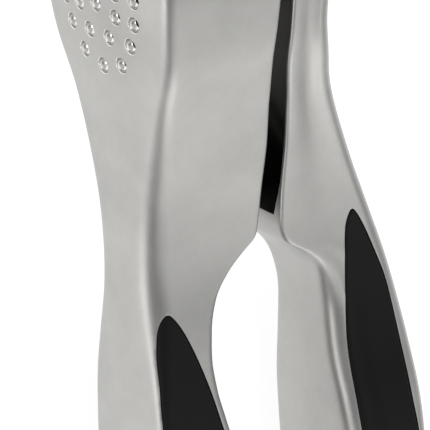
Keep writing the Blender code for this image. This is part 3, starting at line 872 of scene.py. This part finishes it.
def cup_outline(centre, radius, back, corner, front_steps, corner_steps):
    """A cup's plan as (z, y): half round in front, straight-sided behind with two rounded corners."""
    across, square = radius - corner, back - corner
    return (
        arc((0, centre), radius, 180, 360, front_steps)
        + arc((across, square), corner, 0, 90, corner_steps)
        + arc((-across, square), corner, 90, 180, corner_steps)
    )


def slot_outline():
    """The slot between the cheeks as (x, y), with a round cradle under the lever's knuckle."""
    radius, past_rim, past_head = CHEEK_RADIUS + 0.0001, 0.0500, HEAD_END + 0.0040
    half_angle = math.degrees(math.acos((SLOT_FLOOR - HINGE[0]) / radius))
    cradle = arc(HINGE, radius, 360 - half_angle, half_angle, 48)
    start = [(past_rim, SLOT_START), (SLOT_FLOOR, SLOT_START)]
    return [*start, *cradle, (SLOT_FLOOR, past_head), (past_rim, past_head)]


class PRESS_OT_hopper_handle(bpy.types.Operator):
    """Cast the hopper handle with its drilled floor, cavity, trough, cheeks and grip windows"""

    bl_idname = "press.hopper_handle"
    bl_label = "Hopper handle"

    def execute(self, context):
        past_rim = 0.050
        cheeks = [HINGE[1] + CHEEK_RADIUS * math.cos(math.radians(a)) for a in range(0, 183, 4)]
        casting = loft("hopper_casting", cheeks + handle_stations(HOPPER_NECK), hopper_section())
        slot = prism("slot", slot_outline(), -CHEEK_INNER, CHEEK_INNER)
        cup = cup_outline(CAVITY_CENTRE, CAVITY_RADIUS, CAVITY_BACK, CAVITY_CORNER, 72, 12)
        cavity = prism("cavity", cup, FLOOR_INNER, past_rim, along_x=True)
        trough = loft("trough", evenly(TROUGH_START, TROUGH_END, CORE_STEP), trough_section)
        bore = bar("bore", HINGE, HINGE_BORE, -THROUGH, THROUGH)
        seats = [
            bar(f"seat {side}", HINGE, SEAT_RADIUS, *sorted((side * SEAT_FLOOR, side * THROUGH)))
            for side in (-1, 1)
        ]
        # The hollows' faces are marked for their rougher as-cast finish and for the painted shade in the
        # metal's colour.
        for hollow in (cavity, trough):
            mark(hollow, AS_CAST_SHADED)
        windows = recess_cutters("hopper", HOPPER_GRIP)
        cut(casting, hole_cutter(), slot, cavity, trough, bore, *seats, *windows)
        break_edges(casting, sizes().edge_break, inside=clear_of_the_holes)
        place(casting, "hopper_side", finish_named("cast metal"), "cast_metal", ["hopper_handle"])
        return {"FINISHED"}


class PRESS_OT_lever_handle(bpy.types.Operator):
    """Cast the lever handle with its knuckle, channel and grip windows"""

    bl_idname = "press.lever_handle"
    bl_label = "Lever handle"

    def execute(self, context):
        casting = loft("lever_casting", handle_stations(LEVER_START), lever_section())
        knuckle = bar("knuckle", HINGE, TONGUE_RADIUS, -TONGUE_HALF, TONGUE_HALF)
        arm = block("arm", (0.0272, 0.0120, -TONGUE_HALF), (0.0360, 0.0262, TONGUE_HALF))
        combine(casting, ("UNION", knuckle), ("UNION", arm))
        stations = evenly(CHANNEL_START, CHANNEL_END, CORE_STEP)
        channel = loft("channel", stations, lever_section(WALL))
        flare = loft("channel flare", stations, rim_flare())
        # The channel's faces are marked for their rougher as-cast finish and for the painted shade in the
        # metal's colour.
        for hollow in (channel, flare):
            mark(hollow, AS_CAST_SHADED)
        bore = bar("bore", HINGE, HINGE_BORE, -THROUGH, THROUGH)
        pin_bore = bar("pin bore", PLUNGER_PIN, PLUNGER_PIN_BORE, -THROUGH, THROUGH)
        cut(casting, channel, flare, bore, pin_bore, *recess_cutters("lever", LEVER_GRIP))
        break_edges(casting, sizes().edge_break)
        place(casting, "lever_side", finish_named("cast metal"), "cast_metal", ["lever_handle"])
        return {"FINISHED"}


# ---------------------------------------------------------------- grips


def side_height(half_section, x, y):
    """How far the casting's side stands from the middle plane at (x, y)."""
    half = half_section(y)
    best = 0.0
    for (x0, z0), (x1, z1) in zip(half, half[1:]):
        low, high = sorted((x0, x1))
        if low <= x <= high and high > low:
            best = max(best, z0 + (z1 - z0) * (x - x0) / (x1 - x0))
    return best


def span_at(outline, y):
    """The outline's lowest and highest x at this y."""
    crossings = []
    for a, b in zip(outline, outline[1:] + outline[:1]):
        if (a.y - y) * (b.y - y) <= 0 and a.y != b.y:
            crossings.append(a.x + (b.x - a.x) * (y - a.y) / (b.y - a.y))
    return min(crossings), max(crossings)


class PRESS_OT_grips(bpy.types.Operator):
    """Mould the soft grip skins, one in each window of the two handles"""

    bl_idname = "press.grips"
    bl_label = "Grips"

    def execute(self, context):
        for name, body, points, at in (
            ("hopper", "hopper_side", HOPPER_GRIP, hopper_section()),
            ("lever", "lever_side", LEVER_GRIP, lever_section()),
        ):
            outline = smooth_loop(points, GRIP_OUTLINE_STEPS)
            for side, sign in (("upper", 1), ("lower", -1)):
                skin = grip_skin(f"{name}_grip_skin_{side}", outline, at, sign)
                place(skin, body, finish_named("soft"), "grip_elastomer", [f"{name}_grip_{side}"])
        return {"FINISHED"}


def grip_skin(name, outline, half_section, sign):
    """A skin that follows the casting's side inside the outline and rolls down at its border."""
    rows, columns, thickness = 180, 28, 0.0017
    gap, proud, thinnest, short_of_tip = 0.0001, 0.0001, 0.00001, 0.99999
    roll, roll_depth, end_width = sizes().grip_edge, 0.7, 1.5
    low = min(p.y for p in outline) + gap
    high = max(p.y for p in outline) - gap
    middle, reach = (low + high) / 2, (high - low) / 2
    bm = bmesh.new()
    bmesh.ops.create_grid(bm, x_segments=columns, y_segments=rows, size=1)
    for vert in bm.verts:
        across, along = math.sin(vert.co.x * math.pi / 2), math.sin(vert.co.y * math.pi / 2)
        y = middle + reach * along * short_of_tip
        left, right = span_at(outline, y)
        left, right = left + gap, right - gap
        half_span = max((right - left) / 2, thinnest)
        x = (left + right) / 2 + half_span * across
        border = min(half_span * (1 - abs(across)), reach * (1 - abs(along)) * end_width)
        near = max(0.0, 1 - border / roll)
        drop = roll * roll_depth * (1 - math.sqrt(max(0.0, 1 - near * near)))
        height = side_height(half_section, x, y) - drop + proud
        vert.co = (x, y, sign * height)
    grown = bmesh.ops.extrude_face_region(bm, geom=bm.faces[:], use_keep_orig=True)["geom"]
    back = [item for item in grown if isinstance(item, bmesh.types.BMVert)]
    bmesh.ops.translate(bm, verts=back, vec=(0, 0, -sign * thickness))
    return piece_from(bm, name)


# ---------------------------------------------------------------- hinge and plunger


class PRESS_OT_hinge(bpy.types.Operator):
    """Turn the hinge pin and its collar, and finish the washers and carriers"""

    bl_idname = "press.hinge"
    bl_label = "Hinge"

    def execute(self, context):
        shaft, head, head_foot, head_face, tip, chamfer = 0.0030, 0.0046, 0.0161, 0.0179, -0.0174, 0.0003
        round_edge, dimple_mouth, dimple_floor = 0.0006, 0.0012, 0.0008
        edge = arc((head - round_edge, head_face - round_edge), round_edge, 0, 90, 6)
        pin = turned("hinge_pin_turned", HINGE, [
            (0, tip), (shaft - chamfer, tip), (shaft, tip + chamfer), (shaft, head_foot), (head, head_foot),
            *edge, (dimple_mouth, head_face), (dimple_floor, head_face - chamfer), (0, head_face - chamfer),
        ])
        place(pin, "hopper_side", finish_named("steel"), "pin_steel", ["hinge_pin"])
        bore = shaft + GAP
        collar = turned("hinge_collar_turned", HINGE, [
            (bore, -head_foot), (head, -head_foot), *[(r, -z) for r, z in edge],
            (bore + chamfer, -head_face), (bore, chamfer - head_face),
        ])
        place(collar, "hopper_side", finish_named("steel"), "pin_steel", ["hinge_pin_collar"])
        for side in ("upper", "lower"):
            repaint("nylon", [f"hinge_washer_{side}"])
            repaint("carrier", [f"{handle}_grip_carrier_{side}" for handle in ("hopper", "lever")])
        return {"FINISHED"}


def repaint(finish, nodes):
    """Give carried-over nodes their finish."""
    for node in nodes:
        for slot in frame["nodes"][node].material_slots:
            slot.material = finish_named(finish)


class PRESS_OT_plunger(bpy.types.Operator):
    """Cast the plunger with its face plate, column and boss, and turn its pin"""

    bl_idname = "press.plunger"
    bl_label = "Plunger"

    def execute(self, context):
        face, thickness, boss_half, boss_radius = 0.0061, 0.0040, 0.0090, 0.0037
        corner, radius, front, back = 0.0026, 0.0142, -0.0129, 0.0119
        outline = cup_outline(front + radius, radius, back, corner, 60, 10)
        plate = prism("plunger_casting", outline, face, face + thickness, along_x=True)
        column = block("column", (face + 0.002, 0.0005, -boss_half), (PLUNGER_PIN[0], 0.0075, boss_half))
        rib = block("rib", (face + 0.002, -0.0085, -0.0013), (face + 0.0110, 0.0100, 0.0013))
        boss = bar("boss", PLUNGER_PIN, boss_radius, -boss_half, boss_half)
        window = block("window", (face + 0.0070, -0.004, -0.0055), (0.0245, 0.012, 0.0055))
        bore = bar("bore", PLUNGER_PIN, PLUNGER_PIN_BORE, -THROUGH, THROUGH)
        combine(plate, ("UNION", column), ("UNION", rib), ("UNION", boss))
        cut(plate, window, bore)
        break_edges(plate, 0.0004)
        place(plate, "plunger", finish_named("cast metal"), "cast_metal", ["plunger"])

        end, chamfer, pin_radius = 0.0178, 0.0003, 0.0020
        pin = turned("plunger_pin_turned", PLUNGER_PIN, [
            (0, -end), (pin_radius - chamfer, -end), (pin_radius, chamfer - end),
            (pin_radius, end - chamfer), (pin_radius - chamfer, end), (0, end),
        ], sides=48)
        place(pin, "lever_side", finish_named("steel"), "pin_steel", ["plunger_pin"])
        return {"FINISHED"}


# ---------------------------------------------------------------- stage


ROOM_BRIGHTNESS = 0.50
# Each darker patch of the room: which way it lies from the press and how much darker its middle is.
ROOM_PATCHES = (((-0.60, -0.34, 0.72), 0.22), ((0.04, -0.36, 0.93), 0.30))
PATCH_EDGE, PATCH_MIDDLE = 0.84, 0.97  # cosines of the angles at which a patch begins and is darkest
# Each soft light: its name, its place from the press's middle, its width and its surface brightness.
SOFTBOXES = (
    ("key", (0.30, -0.75, 0.75), 1.3, 0.66),
    ("front", (0.15, -1.10, 0.32), 0.8, 0.7),
    ("side", (-0.95, -0.30, 0.26), 0.45, 2.2),
)


def light_the_room(world):
    """An even grey room whose darker patches draw soft shadows along the metal's rounded edges."""
    room = Shading(world, "Background")
    room.shader.inputs["Color"].default_value = (1, 1, 1, 1)
    direction = room.node("ShaderNodeTexCoord")
    brightness = ROOM_BRIGHTNESS
    for towards, depth in ROOM_PATCHES:
        sockets = {0: direction, 1: towards}
        cosine = room.node("ShaderNodeVectorMath", {"operation": "DOT_PRODUCT"}, sockets, out=1)
        inside = room.node("ShaderNodeMapRange", inputs={0: cosine, 1: PATCH_EDGE, 2: PATCH_MIDDLE})
        brightness = brightness - inside * depth
    room.feed("Strength", brightness)


def softbox(name, centre, target, size, brightness):
    """A square soft light of a given surface brightness, facing the target."""
    lamp = bpy.data.lights.new(name, "AREA")
    lamp.shape = "SQUARE"
    lamp.size = size
    lamp.energy = brightness * math.pi * size * size
    obj = bpy.data.objects.new(name, lamp)
    bpy.context.scene.collection.objects.link(obj)
    obj.location = centre
    obj.rotation_mode = "QUATERNION"
    obj.rotation_quaternion = (target - centre).to_track_quat("-Z", "Y")


class PRESS_OT_stage(bpy.types.Operator):
    """Set the pale floor, the soft studio lights and the camera"""

    bl_idname = "press.stage"
    bl_label = "Stage"

    def execute(self, context):
        scene = context.scene
        scene.view_settings.view_transform = "Standard"
        lay_floor()
        scene.world = bpy.data.worlds.new("studio")
        light_the_room(scene.world)
        middle = ORIGIN + Vector((0.030, -0.045, 0))
        for name, offset, size, brightness in SOFTBOXES:
            softbox(name, middle + Vector(offset), middle, size, brightness)
        set_camera(scene)
        return {"FINISHED"}


def lay_floor():
    """A wide pale floor that glows, as a light table does, so that it stays even under the press."""
    half_width, below_press = 3, 0.0005
    bm = bmesh.new()
    bmesh.ops.create_grid(bm, x_segments=1, y_segments=1, size=half_width)
    bmesh.ops.translate(bm, verts=bm.verts, vec=(0, 0, cad_box[0].z - below_press))
    floor = piece_from(bm, "floor")
    if floor.data.polygons[0].normal.z < 0:
        floor.data.flip_normals()
    glow = {"Emission Color": (1, 1, 1, 1), "Emission Strength": 0.92}
    finish = Finish("pale floor", {"Roughness": 0.9, "Base Color": (*colours().floor, 1), **glow})
    floor.data.materials.clear()
    floor.data.materials.append(finish.material)


def set_camera(scene):
    """A long lens that looks down on the hopper's floor and side, rolled so that the press stands head up."""
    backward = Vector((-0.539, 0.342, 0.770)).normalized()
    rightward = Vector((0.819, 0.0, 0.574))
    rightward = (rightward - backward * rightward.dot(backward)).normalized()
    upward = backward.cross(rightward)
    distance, field = 0.9, 0.07167  # field is the width that fills the picture at that distance
    aim = ORIGIN + Vector((0.0242, -0.0419, 0))
    camera = bpy.data.objects.new("camera", bpy.data.cameras.new("camera"))
    scene.collection.objects.link(camera)
    turn = Matrix((rightward, upward, backward)).transposed()
    camera.rotation_mode = "QUATERNION"
    camera.rotation_quaternion = turn.to_quaternion()
    camera.location = aim + backward * distance
    camera.data.lens = camera.data.sensor_width * distance / field
    camera.data.clip_end = 10
    scene.camera = camera


# ---------------------------------------------------------------- add-on


class PRESS_PT_sidebar(bpy.types.Panel):
    """The press's sizes, colours and build steps"""

    bl_idname = "PRESS_PT_sidebar"
    bl_label = "Garlic Press"
    bl_space_type = "VIEW_3D"
    bl_region_type = "UI"
    bl_category = "Press"

    def draw(self, context):
        for group in (context.scene.press_sizes, context.scene.press_colours):
            for name in group.__annotations__:
                self.layout.prop(group, name)
        for step in STEPS:
            self.layout.operator(step.bl_idname)


STEPS = (
    PRESS_OT_stage,
    PRESS_OT_hopper_handle,
    PRESS_OT_lever_handle,
    PRESS_OT_grips,
    PRESS_OT_hinge,
    PRESS_OT_plunger,
)
CLASSES = (PressSizes, PressColours, *STEPS, PRESS_PT_sidebar)


def register():
    for item in CLASSES:
        bpy.utils.register_class(item)
    bpy.types.Scene.press_sizes = bpy.props.PointerProperty(type=PressSizes)
    bpy.types.Scene.press_colours = bpy.props.PointerProperty(type=PressColours)


def unregister():
    del bpy.types.Scene.press_colours
    del bpy.types.Scene.press_sizes
    for item in reversed(CLASSES):
        bpy.utils.unregister_class(item)


def main():
    register()
    for step in STEPS:
        group, _, name = step.bl_idname.partition(".")
        getattr(getattr(bpy.ops, group), name)()


if __name__ == "__main__":
    main()
